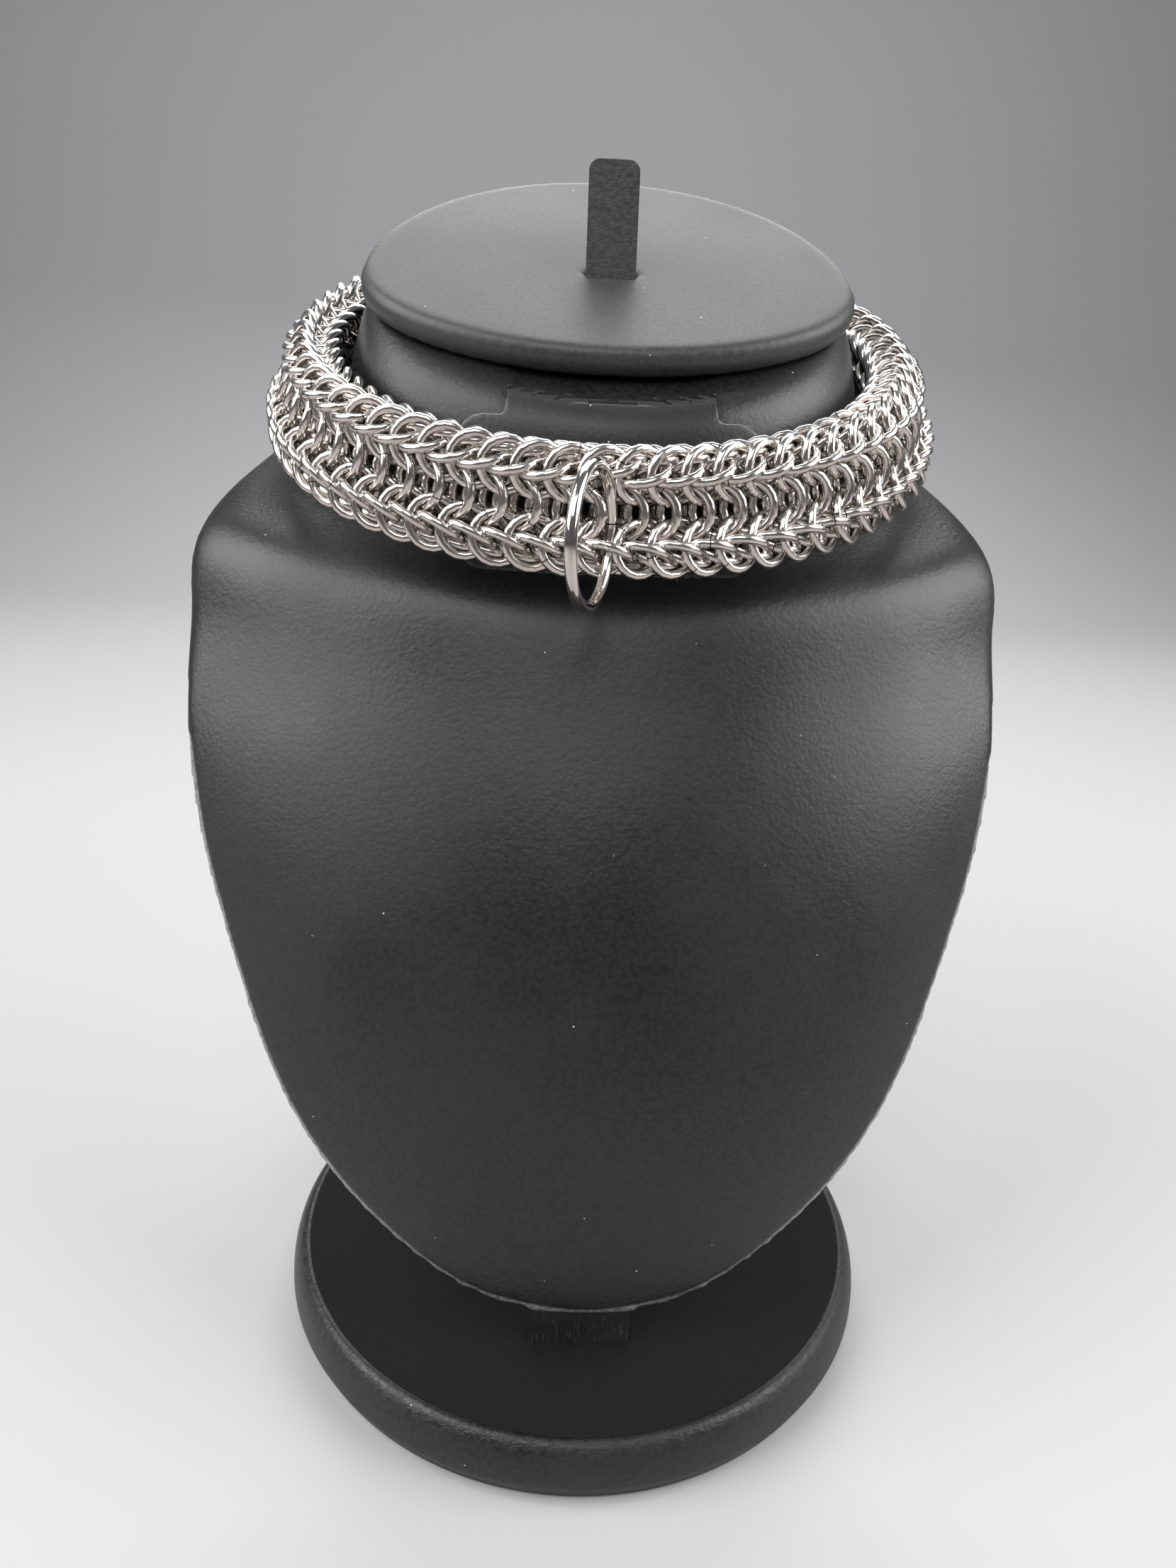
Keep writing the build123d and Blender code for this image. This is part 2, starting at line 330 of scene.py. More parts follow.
@dataclass(frozen=True)
class Leatherette:
    """Black pressed leatherette, with the colours of its crowns and valleys.

    Below the height cut_below_mm, edges that face sideways, up or down show the pale core of
    the cut sheet. A rim gives a fuzzy pale line along the chest's lower edge.
    """

    name: str
    crown: tuple[float, float, float] = (0.0095, 0.0095, 0.0110)
    valley: tuple[float, float, float] = (0.0035, 0.0035, 0.0042)
    roughness: tuple[float, float] = (0.36, 0.50)
    cells: float = 900.0
    creases: float = 0.28
    relief_mm: float = 0.09
    cut_below_mm: float = 0.0
    rim: bool = False
    dust_amount: float = 0.30
    dust_colour: tuple[float, float, float] = (0.55, 0.55, 0.52)
    core_grey: float = 0.30
    rim_grey: float = 0.26
    rim_mm: tuple[float, float] = (0.8, 1.8)
    wear: float = 1.7

    def cut_edge(self, tree: Tree, place: Socket, skin: Socket) -> Socket:
        """Show the sheet's pale core where a face turns away from the front, below cut_below_mm.

        Args:
            tree: the material's tree.
            place: Object coordinates.
            skin: colour of the leather.

        Returns:
            The new colour.
        """
        normal = tree.add("ShaderNodeNewGeometry").outputs["True Normal"]
        facing = tree.math("ABSOLUTE", tree.add("ShaderNodeSeparateXYZ", {0: normal}).outputs[1])
        level = tree.add("ShaderNodeSeparateXYZ", {0: place}).outputs[2]
        low = tree.math("LESS_THAN", level, self.cut_below_mm * MM)
        cut = tree.math("MULTIPLY", tree.ramp(facing, 0.40, 0.62, 0.85, 0.0), low)
        return tree.mix(cut, skin, (*(self.core_grey,) * 3, 1.0))

    def rim_line(self, tree: Tree, place: Socket, skin: Socket) -> Socket:
        """Draw the fuzzy pale line by the distance that the piece stores as its EDGE attribute.

        Args:
            tree: the material's tree.
            place: Object coordinates.
            skin: colour of the leather.

        Returns:
            The new colour.
        """
        fuzz = tree.add("ShaderNodeTexNoise", {"Vector": place, "Scale": 900.0, "Detail": 2.0})
        from_edge = tree.add("ShaderNodeAttribute", attribute_name=EDGE).outputs["Fac"]
        line = tree.ramp(from_edge, *self.rim_mm, 1.0, 0.0)
        pale = tree.math("MULTIPLY", line, tree.ramp(fuzz.outputs[0], 0.3, 0.6, 0.35, 0.9))
        return tree.mix(pale, skin, (*(self.rim_grey,) * 3, 1.0))

    def build(self) -> bpy.types.Material:
        """Build the material: grain for height, pores and colour, with dust on top.

        Returns:
            The material.
        """
        material, tree, shader = start_material(self.name)
        place = tree.add("ShaderNodeTexCoord").outputs["Object"]
        grain = use_group(tree, "grain", {"Vector": place, "Cells": self.cells, "Creases": self.creases})
        specks = {"Vector": place, "Cells": 240.0, "Size": 0.055, "Amount": self.dust_amount}
        dust = use_group(tree, "dust", specks)
        patch = tree.add("ShaderNodeTexNoise", {"Vector": place, "Scale": 22.0, "Detail": 3.0})
        skin = tree.mix(grain.outputs["Pores"], (*self.crown, 1.0), (*self.valley, 1.0))
        uneven = tree.ramp(patch.outputs[0], 0.3, 0.7, 0.0, 0.35)
        worn = tree.mix(uneven, skin, (*(self.wear * c for c in self.crown), 1.0))
        if self.cut_below_mm:
            worn = self.cut_edge(tree, place, worn)
        if self.rim:
            worn = self.rim_line(tree, place, worn)
        colour = tree.mix(dust.outputs["Mask"], worn, (*self.dust_colour, 1.0))
        rough = tree.ramp(patch.outputs[0], 0.25, 0.75, *self.roughness)
        Surface(colour, rough, grain.outputs["Height"], 0.45, self.relief_mm).feed(tree, shader)
        shader.inputs["Specular IOR Level"].default_value = 0.5
        return material


@dataclass(frozen=True)
class Velvet:
    """Short black pile on the round base."""

    name: str
    deep: tuple[float, float, float] = (0.0025, 0.0025, 0.003)
    tip: tuple[float, float, float] = (0.009, 0.009, 0.010)
    dust_colour: tuple[float, float, float] = (0.30, 0.30, 0.29)
    pile_mm: float = 0.25

    def build(self) -> bpy.types.Material:
        """Build the pile: fine noise for its tips, brushed patches and dust.

        Returns:
            The material.
        """
        material, tree, shader = start_material(self.name)
        place = tree.add("ShaderNodeTexCoord").outputs["Object"]
        pile = tree.add("ShaderNodeTexNoise", {"Vector": place, "Scale": 2600.0, "Detail": 2.0})
        brushed = tree.add("ShaderNodeTexNoise", {"Vector": place, "Scale": 28.0, "Detail": 4.0})
        tips = tree.ramp(pile.outputs[0], 0.35, 0.7)
        lay = tree.math("MULTIPLY", tips, tree.ramp(brushed.outputs[0], 0.3, 0.7, 0.35, 1.0))
        dust = use_group(tree, "dust", {"Vector": place, "Cells": 260.0, "Amount": 0.22, "Size": 0.06})
        fibre = tree.mix(lay, (*self.deep, 1.0), (*self.tip, 1.0))
        colour = tree.mix(dust.outputs["Mask"], fibre, (*self.dust_colour, 1.0))
        rough = tree.ramp(brushed.outputs[0], 0.2, 0.8, 0.86, 0.98)
        Surface(colour, rough, pile.outputs[0], 0.6, self.pile_mm).feed(tree, shader)
        shader.inputs["Specular IOR Level"].default_value = 0.25
        shader.inputs["Sheen Weight"].default_value = 0.04
        shader.inputs["Sheen Roughness"].default_value = 0.4
        return material


@dataclass(frozen=True)
class BlackBoard:
    """Plain black board of the bar, a little paler in its fine scratches, with patchy roughness."""

    name: str
    colour: tuple[float, float, float] = (0.012, 0.012, 0.013)
    dust_colour: tuple[float, float, float] = (0.5, 0.5, 0.48)
    scratch_gain: float = 4.0
    scratch_mm: float = 0.05

    def build(self) -> bpy.types.Material:
        """Build the board: stretched noise for scratches, patchy roughness and dust.

        Returns:
            The material.
        """
        material, tree, shader = start_material(self.name)
        place = tree.add("ShaderNodeTexCoord").outputs["Object"]
        long = tree.add("ShaderNodeMapping", {"Vector": place, "Scale": (1.0, 1.0, 0.08)})
        scratch = tree.add("ShaderNodeTexNoise", {"Vector": long.outputs[0], "Scale": 1800.0, "Detail": 3.0})
        patch = tree.add("ShaderNodeTexNoise", {"Vector": place, "Scale": 120.0, "Detail": 3.0})
        dust = use_group(tree, "dust", {"Vector": place, "Amount": 0.25})
        marks = tree.ramp(scratch.outputs[0], 0.52, 0.7, 0.0, 0.7)
        pale = (*(self.scratch_gain * c for c in self.colour), 1.0)
        board = tree.mix(marks, (*self.colour, 1.0), pale)
        colour = tree.mix(dust.outputs["Mask"], board, (*self.dust_colour, 1.0))
        rough = tree.ramp(patch.outputs[0], 0.3, 0.7, 0.34, 0.6)
        Surface(colour, rough, scratch.outputs[0], 0.25, self.scratch_mm).feed(tree, shader)
        return material


@dataclass(frozen=True)
class SteelWire:
    """Polished stainless wire, bent to rings that butt.

    Faces that look ahead and down carry a painted reflection: a darker, warmer tone painted into
    the colour where the wire would mirror the dark leather. With by_object the marks follow Object
    coordinates, without a seam.
    """

    name: str
    bright: tuple[float, float, float] = (0.86, 0.86, 0.84)
    warm: tuple[float, float, float] = (0.70, 0.65, 0.61)
    # painted reflection colour: the dark leather mirrored in the wire, painted into its colour
    painted_reflection: tuple[float, float, float] = (0.48, 0.39, 0.35)
    seam: tuple[float, float, float] = (0.03, 0.028, 0.026)
    seam_share: float = 0.0035
    roughness: tuple[float, float] = (0.14, 0.28)
    relief_mm: float = 0.04
    by_object: bool = False
    marks_per_metre: float = 60.0

    def build(self) -> bpy.types.Material:
        """Build the wire: streaks along it, its own tint on each ring, a painted reflection on the faces that
        look ahead and down, and a dark butt seam.

        Returns:
            The material.
        """
        material, tree, shader = start_material(self.name)
        if self.by_object:
            place = tree.add("ShaderNodeTexCoord").outputs["Object"]
            far = tree.vector("MULTIPLY", place, (self.marks_per_metre,) * 3)
        else:
            far = tree.add("ShaderNodeUVMap", uv_map=WIRE_MAP).outputs[0]
        parts = tree.add("ShaderNodeSeparateXYZ", {0: far}).outputs
        gap = 0.0 if self.by_object else self.seam_share
        marks = use_group(tree, "wire", {"Along": parts[0], "Across": parts[1], "Gap": gap})
        streak, ring, seam = (marks.outputs[label] for label in ("Streak", "Ring", "Seam"))
        tint = tree.math("MULTIPLY", tree.ramp(streak, 0.35, 0.7), tree.ramp(ring, 0.0, 1.0, 0.25, 0.9))
        # Painted reflection: faces that look ahead and down in world space are mixed towards the darker,
        # warmer reflection colour, standing in for the dark leather that they mirror.
        normal = tree.add("ShaderNodeNewGeometry").outputs["Normal"]
        facing = tree.add("ShaderNodeSeparateXYZ", {0: normal}).outputs
        ahead = tree.math("SUBTRACT", tree.math("MULTIPLY", facing[1], -1.0), facing[2])
        under = tree.ramp(ahead, 0.1, 1.0, 0.0, 0.75)
        toned = tree.mix(tint, (*self.bright, 1.0), (*self.warm, 1.0))
        metal_with_painted_reflection = tree.mix(under, toned, (*self.painted_reflection, 1.0))
        colour = metal_with_painted_reflection if self.by_object else tree.mix(seam, metal_with_painted_reflection, (*self.seam, 1.0))
        rough = tree.ramp(streak, 0.3, 0.75, *self.roughness)
        Surface(colour, rough, streak, 0.18, self.relief_mm).feed(tree, shader)
        shader.inputs["Metallic"].default_value = 1.0
        return material


# Mesh building


def put_mesh(
    name: str, points: np.ndarray, quads: np.ndarray, uv: np.ndarray | None = None
) -> bpy.types.Object:
    """Make an object of quads.

    Args:
        name: the piece's name.
        points: its vertices, n by 3, in metres.
        quads: the vertex numbers of its faces, m by 4.
        uv: place of each face corner, m by 4 by 2, for the map named wire.

    Returns:
        The object, linked to the scene, shaded smooth.
    """
    mesh = bpy.data.meshes.new(name)
    mesh.vertices.add(len(points))
    mesh.vertices.foreach_set("co", np.ascontiguousarray(points, np.float32).ravel())
    mesh.loops.add(quads.size)
    mesh.loops.foreach_set("vertex_index", np.ascontiguousarray(quads, np.int32).ravel())
    mesh.polygons.add(len(quads))
    mesh.polygons.foreach_set("loop_start", np.arange(0, quads.size, 4, dtype=np.int32))
    mesh.update(calc_edges=True)
    if uv is not None:
        layer = mesh.uv_layers.new(name=WIRE_MAP)
        layer.uv.foreach_set("vector", np.ascontiguousarray(uv, np.float32).ravel())
    mesh.validate()
    mesh.shade_smooth()
    piece = bpy.data.objects.new(name, mesh)
    bpy.context.scene.collection.objects.link(piece)
    return piece


@dataclass(frozen=True)
class Wire:
    """Round wire of a closed ring: radius of its centre line, its thickness and its grid."""

    radius_mm: float
    thickness_mm: float
    along: int
    around: int

    def rings(self, centre: np.ndarray, first: np.ndarray, second: np.ndarray) -> np.ndarray:
        """Points of many rings at once.

        A point is the centre, plus (R + r cos v) times the turning direction
        first cos u + second sin u, plus r sin v times the ring's normal.

        Args:
            centre: middles, n by 3, in metres.
            first: unit vectors in each ring's plane, n by 3.
            second: unit vectors across them, n by 3.

        Returns:
            The points, n by along by around by 3.
        """
        u = np.linspace(0.0, 2.0 * np.pi, self.along, endpoint=False)
        v = np.linspace(0.0, 2.0 * np.pi, self.around, endpoint=False)
        out = np.cos(u)[None, :, None] * first[:, None] + np.sin(u)[None, :, None] * second[:, None]
        normal = np.cross(first, second)
        reach = (self.radius_mm + self.thickness_mm / 2.0 * np.cos(v))[:, None] * MM
        rise = (self.thickness_mm / 2.0 * np.sin(v))[:, None] * MM
        return centre[:, None, None] + out[:, :, None] * reach + normal[:, None, None] * rise

    def quads(self, count: int) -> np.ndarray:
        """Faces of many rings, wrapped both ways, pointing outwards.

        Args:
            count: number of rings.

        Returns:
            The vertex numbers of the faces, m by 4.
        """
        one = np.arange(self.along * self.around).reshape(self.along, self.around)
        ahead, beside = np.roll(one, -1, 0), np.roll(one, -1, 1)
        across = np.roll(ahead, -1, 1)
        face = np.stack([one, ahead, across, beside], -1).reshape(-1, 4)
        return (face[None] + (np.arange(count) * one.size)[:, None, None]).reshape(-1, 4)

    def marks(self, phase: np.ndarray) -> np.ndarray:
        """Places on the wire of the corners of quads.

        The first number is the share along the ring plus its phase; the second is the share
        round the wire, kept a hair inside 0 to 1, plus the ring's number.

        Args:
            phase: what is added along each ring, n.

        Returns:
            The places, m by 4 by 2.
        """
        inset = 0.01
        a = np.arange(self.along)[:, None, None] + np.array([0, 1, 1, 0])[None, None]
        b = np.arange(self.around)[None, :, None] + np.array([0, 0, 1, 1])[None, None]
        a, b = np.broadcast_arrays(a / self.along, (1.0 - 2.0 * inset) * b / self.around + inset)
        flat = np.stack([a, b], -1).reshape(1, -1, 4, 2)
        shift = np.stack([phase, np.arange(len(phase))], -1)[:, None, None]
        return (flat + shift).reshape(-1, 4, 2)


@dataclass(frozen=True)
class Loop:
    """Ellipse that the band follows, in a leaning plane, with its wall opened like a cone."""

    half_width_mm: float = 74.6
    half_depth_mm: float = 66.2
    front_y_mm: float = -9.9
    front_z_mm: float = 203.4
    tilt: float = math.radians(22.5)
    cone: float = math.radians(24.0)
    columns: int = 64
    samples: int = 20001

    def frames(self, shift_mm: float) -> tuple[np.ndarray, np.ndarray]:
        """Places and axes of the columns, at equal lengths of the ellipse from its front middle.

        The ellipse (a sin t, -b cos t) is measured by adding up its short chords, and t is
        read back at equal shares. Axes are: along the band, into the wall, and up the wall.

        Args:
            shift_mm: length along the loop that all places are moved on by.

        Returns:
            Places, n by 3 in metres, and axes, n by 3 by 3.
        """
        a, b = self.half_width_mm, self.half_depth_mm
        lean = np.array([0.0, math.cos(self.tilt), math.sin(self.tilt)])
        normal = np.array([0.0, -math.sin(self.tilt), math.cos(self.tilt)])
        middle = np.array([0.0, self.front_y_mm, self.front_z_mm]) + b * lean
        t = np.linspace(0.0, 2.0 * np.pi, self.samples)
        chords = np.hypot(np.diff(a * np.sin(t)), np.diff(b * np.cos(t)))
        run = np.concatenate([[0.0], np.cumsum(chords)])
        along = np.arange(self.columns) * run[-1] / self.columns + shift_mm
        t = np.interp(along % run[-1], run, t)
        side = np.array([1.0, 0.0, 0.0])
        spot = middle + a * np.sin(t)[:, None] * side - b * np.cos(t)[:, None] * lean
        ahead = a * np.cos(t)[:, None] * side + b * np.sin(t)[:, None] * lean
        ahead /= np.linalg.norm(ahead, axis=1)[:, None]
        out = np.cross(ahead, normal)
        face = out * math.cos(self.cone) + normal * math.sin(self.cone)
        return spot * MM, np.stack([ahead, -face, np.cross(face, ahead)], 1)


@dataclass(frozen=True)
class Stance:
    """One ring of a column: its middle along, into and up the wall, and how its plane stands.

    An upright ring is turned about the up axis, its trailing side outwards, and leans out at
    its top. A lying ring has its leading side raised by turn and its outer side by lean.
    """

    middle_mm: tuple[float, float, float]
    turn: float
    lean: float
    lying: bool = False

    def axes(self) -> tuple[np.ndarray, np.ndarray]:
        """Turn the ring's plane as the stance says.

        Returns:
            Two unit vectors in the plane, each as along, into and up.
        """
        side, rise = math.cos(self.turn), math.sin(self.turn)
        if self.lying:
            up = np.array([-rise, 0.0, side])
            out = np.array([0.0, -1.0, 0.0])
            return np.array([side, 0.0, rise]), out * math.cos(self.lean) + up * math.sin(self.lean)
        out = np.array([rise, -side, 0.0])
        up = np.array([0.0, 0.0, 1.0])
        return np.array([side, rise, 0.0]), up * math.cos(self.lean) + out * math.sin(self.lean)


@dataclass
class Weave:
    """The collar's rings: ten to a column, each linked through two of the row above and below.

    Down the front face run a lying leaf, an upright arch over the edge, a bow across the
    middle, and the arch and leaf again upside down. The back face mirrors the front, half
    a column further on, so that the arches meet along both edges like a herringbone.
    """

    loop: Loop
    wire: Wire = Wire(radius_mm=5.40, thickness_mm=2.12, along=18, around=7)
    leaf: Stance = Stance(middle_mm=(0.37, -1.69, 8.5), turn=0.25, lean=-0.39, lying=True)
    arch: Stance = Stance(middle_mm=(6.09, -2.87, 7.4), turn=0.40, lean=0.11)
    bow: Stance = Stance(middle_mm=(2.26, -2.42, 0.0), turn=-0.40, lean=0.0)
    back_shift_mm: float = -3.46
    start_mm: float = 6.0
    jitter: float = 0.014
    seed: int = 11
    clearance_mm: float = 2.3
    push_points: int = 36
    push_passes: int = 12
    push_share: float = 0.6

    def rows(self) -> list[tuple[np.ndarray, np.ndarray, np.ndarray]]:
        """Set out one column: the front face, downwards, then its mirrored back.

        Returns:
            For each ring its middle in millimetres and its two axes, as along, into and up.
        """
        down, back = np.array([1.0, 1.0, -1.0]), np.array([1.0, -1.0, 1.0])
        face = [(np.array(s.middle_mm), *s.axes()) for s in (self.leaf, self.arch, self.bow)]
        face += [tuple(part * down for part in row) for row in face[:2]]
        shift = np.array([self.back_shift_mm, 0.0, 0.0])
        return face + [(middle * back + shift, first * back, second * back) for middle, first, second in face]

    def parted(self, centre: np.ndarray, one: np.ndarray, two: np.ndarray, line: np.ndarray) -> np.ndarray:
        """Push the rings that touch the large ring aside, as it does in the real weave.

        Each pass moves a ring off the large ring's nearest point by most of what it lacks of
        the clearance between the two wires' centre lines.

        Args:
            centre: middles of one row's rings, n by 3, in metres.
            one: unit vectors in each ring's plane, n by 3.
            two: unit vectors across them, n by 3.
            line: points on the large ring's centre line, m by 3.

        Returns:
            The new middles.
        """
        u = np.linspace(0.0, 2.0 * np.pi, self.push_points, endpoint=False)
        turned_out = np.cos(u)[None, :, None] * one[:, None] + np.sin(u)[None, :, None] * two[:, None]
        moved = centre.copy()
        rows = np.arange(len(centre))
        for _ in range(self.push_passes):
            ring = moved[:, None] + self.wire.radius_mm * MM * turned_out
            apart = (ring[:, :, None] - line).reshape(len(centre), -1, 3)
            length = np.linalg.norm(apart, axis=2)
            nearest = length.argmin(1)
            close = length[rows, nearest]
            lack = np.clip(self.clearance_mm * MM - close, 0.0, None)
            moved += self.push_share * (lack / close)[:, None] * apart[rows, nearest]
        return moved

    def build(self, line: np.ndarray) -> bpy.types.Object:
        """Build every ring in its place on the loop, each a hair off true.

        A row's rings stand on the frame at their own length along the loop, so a ring far
        along its column still follows the curve.

        Args:
            line: points on the large ring's centre line, in metres.

        Returns:
            The weave as one piece.
        """
        chance = np.random.default_rng(self.seed)
        shells = []
        for middle, first, second in self.rows():
            spot, axes = self.loop.frames(middle[0] + self.start_mm)
            count = len(spot)
            off = chance.normal(0.0, self.jitter, (count, 2))
            centre = spot + (middle[1] * axes[:, 1] + middle[2] * axes[:, 2]) * MM
            one = np.einsum("i,kij->kj", first, axes)
            two = np.einsum("i,kij->kj", second, axes)
            normal = np.cross(one, two)
            one = one + off[:, :1] * normal
            two = two + off[:, 1:] * normal
            one /= np.linalg.norm(one, axis=1)[:, None]
            two -= one * np.sum(one * two, axis=1)[:, None]
            two /= np.linalg.norm(two, axis=1)[:, None]
            shells.append(self.wire.rings(self.parted(centre, one, two, line), one, two))
        points = np.concatenate(shells)
        phase = chance.uniform(0.0, 1.0, len(points))
        faces = self.wire.quads(len(points))
        piece = put_mesh("chain_weave", points.reshape(-1, 3), faces, self.wire.marks(phase))
        dress(piece, SteelWire("steel_rings").build(), Body.STAND, "chainmail_band")
        return piece


@dataclass
class FrontRing:
    """The large ring, which stands out of the collar and swings about its inner limb."""

    wire: Wire = Wire(radius_mm=13.9, thickness_mm=2.5, along=72, around=14)
    pivot_y_mm: float = -13.0
    centre_z_mm: float = 200.2
    yaw: float = math.radians(18.7)
    seam_turn: float = 0.09

    def place(self) -> tuple[np.ndarray, np.ndarray, np.ndarray]:
        """Place the ring, which leaves its inner limb towards the front.

        Returns:
            Its middle in metres, and its axes from there to the inner limb and upwards.
        """
        out = np.array([math.sin(self.yaw), math.cos(self.yaw), 0.0])
        centre = np.array([0.0, self.pivot_y_mm, self.centre_z_mm]) - self.wire.radius_mm * out
        return centre * MM, out, np.array([0.0, 0.0, 1.0])

    def line(self) -> np.ndarray:
        """Follow the ring's centre line: middle plus R times (out cos u + up sin u).

        Returns:
            Points on it in metres, two to each step of the ring's grid.
        """
        centre, out, up = self.place()
        u = np.linspace(0.0, 2.0 * np.pi, 2 * self.wire.along, endpoint=False)[:, None]
        return centre + self.wire.radius_mm * MM * (np.cos(u) * out + np.sin(u) * up)

    def build(self) -> bpy.types.Object:
        """Build the ring with its butt seam on the limb inside the collar.

        Returns:
            The ring.
        """
        centre, out, up = self.place()
        points = self.wire.rings(centre[None], out[None], up[None])
        marks = self.wire.marks(np.array([-self.seam_turn / (2.0 * math.pi)]))
        piece = put_mesh("large_ring", points.reshape(-1, 3), self.wire.quads(1), marks)
        finish = SteelWire("steel_large_ring", seam_share=0.002, roughness=(0.07, 0.16))
        dress(piece, finish.build(), Body.RING, "front_ring")
        return piece


def smooth_skin(node: str, name: str, voxel_mm: float, passes: int) -> bpy.types.Object:
    """Copy a CAD node as one even skin with softened edges.

    The copy is merged, rebuilt from voxels and smoothed, all before its mesh is kept.

    Args:
        node: the CAD node.
        name: the new piece's name.
        voxel_mm: size of the voxels.
        passes: number of smoothing passes.

    Returns:
        The new object, shaded smooth.
    """
    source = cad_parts[node]
    rough = bpy.data.objects.new(name + "_rough", source.data.copy())
    bpy.context.scene.collection.objects.link(rough)
    weld = rough.modifiers.new("weld", "WELD")
    weld.merge_threshold = WELD_MM * MM
    voxels = rough.modifiers.new("voxels", "REMESH")
    voxels.mode, voxels.voxel_size = "VOXEL", voxel_mm * MM
    even = rough.modifiers.new("even", "SMOOTH")
    even.factor, even.iterations = 0.5, passes
    bpy.context.view_layer.update()
    mesh = bpy.data.meshes.new_from_object(rough.evaluated_get(bpy.context.evaluated_depsgraph_get()))
    bpy.data.objects.remove(rough)
    mesh.name = name
    mesh.materials.clear()
    mesh.shade_smooth()
    piece = bpy.data.objects.new(name, mesh)
    bpy.context.scene.collection.objects.link(piece)
    return piece


def dress(
    piece: bpy.types.Object, material: bpy.types.Material, body: Body, node: str
) -> None:
    """Give a piece its finish and its place in the frame.

    Args:
        piece: the piece.
        material: its only material.
        body: the body that it rides on.
        node: the CAD node that it stands for.
    """
    piece.data.materials.clear()
    piece.data.materials.append(material)
    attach(piece, body.value)
    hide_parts(node)


def refinish(node: str, material: bpy.types.Material) -> None:
    """Give a CAD node that keeps its shape its only material.

    Args:
        node: the node's name.
        material: the material.
    """
    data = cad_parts[node].data
    data.materials.clear()
    data.materials.append(material)


def read_points(mesh: bpy.types.Mesh) -> np.ndarray:
    """Read a mesh's vertices.

    Args:
        mesh: the mesh.

    Returns:
        Their places, n by 3, in metres.
    """
    flat = np.empty(3 * len(mesh.vertices), np.float32)
    mesh.vertices.foreach_get("co", flat)
    return flat.reshape(-1, 3)


def turned(name: str, profile: np.ndarray, steps: int) -> bpy.types.Object:
    """Turn a closed profile round the Z axis.

    A point of the profile (r, z) goes to (r cos t, r sin t, z). The profile runs from the
    axis underneath, out, up and back to the axis on top; its first and last rings are small.

    Args:
        name: the piece's name.
        profile: radii and heights, n by 2, in millimetres.
        steps: number of steps round.

    Returns:
        The object.
    """
    t = np.linspace(0.0, 2.0 * np.pi, steps, endpoint=False)
    r, z = profile[:, 0], profile[:, 1]
    rings = [np.outer(np.cos(t), r), np.outer(np.sin(t), r), np.outer(np.ones(steps), z)]
    points = np.stack(rings, -1) * MM
    grid = np.arange(steps * len(r)).reshape(steps, len(r))
    ahead = np.roll(grid, -1, 0)
    faces = np.stack([grid[:, :-1], ahead[:, :-1], ahead[:, 1:], grid[:, 1:]], -1).reshape(-1, 4)
    piece = put_mesh(name, points.reshape(-1, 3), faces)
    close_poles(piece.data)
    return piece


def close_poles(mesh: bpy.types.Mesh) -> None:
    """Merge the points of each tiny end ring, which is two pole radii across, into one.

    Args:
        mesh: the mesh.
    """
    shape = bmesh.new()
    shape.from_mesh(mesh)
    bmesh.ops.remove_doubles(shape, verts=shape.verts, dist=2.5 * POLE_MM * MM)
    shape.to_mesh(mesh)
    shape.free()
    mesh.shade_smooth()


